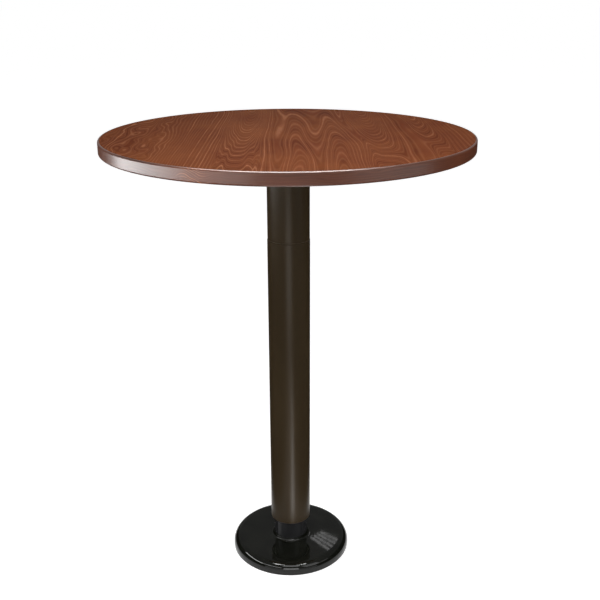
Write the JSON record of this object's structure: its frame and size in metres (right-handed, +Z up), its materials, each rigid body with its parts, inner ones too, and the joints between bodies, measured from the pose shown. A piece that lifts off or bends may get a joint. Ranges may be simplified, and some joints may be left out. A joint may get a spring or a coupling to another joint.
{
  "type": "bolt-down pedestal table",
  "caption": "Round wood-veneered dining table on a bronze tube column and a gloss black floor base, bolted to the floor under a cover that lifts along its post.",
  "frame": {"origin": "centre of the base on the floor, under the column's axis", "axes": "+Z up along the column to the table's top face, -Y towards the front; two floor bolts lie on each of the diagonals between X and Y"},
  "size_m": [0.6, 0.6, 0.77],
  "materials": {
    "face_wood": "red-brown figured veneer under satin lacquer",
    "lipping_wood": "red-brown lipping under satin lacquer",
    "core_board": "fibreboard",
    "backing_wood": "plain veneer, thin sealer",
    "insert_brass": "turned",
    "spider_iron": "black paint over cast surface",
    "zinc_steel": "bright zinc plating",
    "bare_steel": "mill finish",
    "bronze_paint": "dark bronze satin powder coat",
    "nylon": "natural nylon",
    "black_enamel": "gloss black enamel",
    "primed_steel": "matt dark primer"
  },
  "bodies": {
    "table": {"edge_lipping": "lipping_wood", "face_veneer": "face_wood", "top_core": "core_board", "backing_veneer": "backing_wood", "threaded_inserts": "insert_brass", "spider": "spider_iron", "spider_screws": "zinc_steel", "spider_washers": "zinc_steel", "upper_tube": "bronze_paint", "tube_coupling": "bronze_paint", "lower_tube": "bronze_paint", "column_bulkhead": "bare_steel", "guide_ring": "nylon", "tie_rod": "zinc_steel", "tie_rod_nut": "zinc_steel", "tie_rod_washer": "zinc_steel", "rod_anchor_nut": "bare_steel", "base_post": "black_enamel", "post_weld": "bare_steel", "floor_plate": "primed_steel"},
    "cover": {"floor_cover": "black_enamel"}
  },
  "joints": [
    {"name": "cover_lift", "type": "slide", "parent": "table", "child": "cover", "axis": [0, 0, 1], "range_m": [0, 0.0375]}
  ]
}
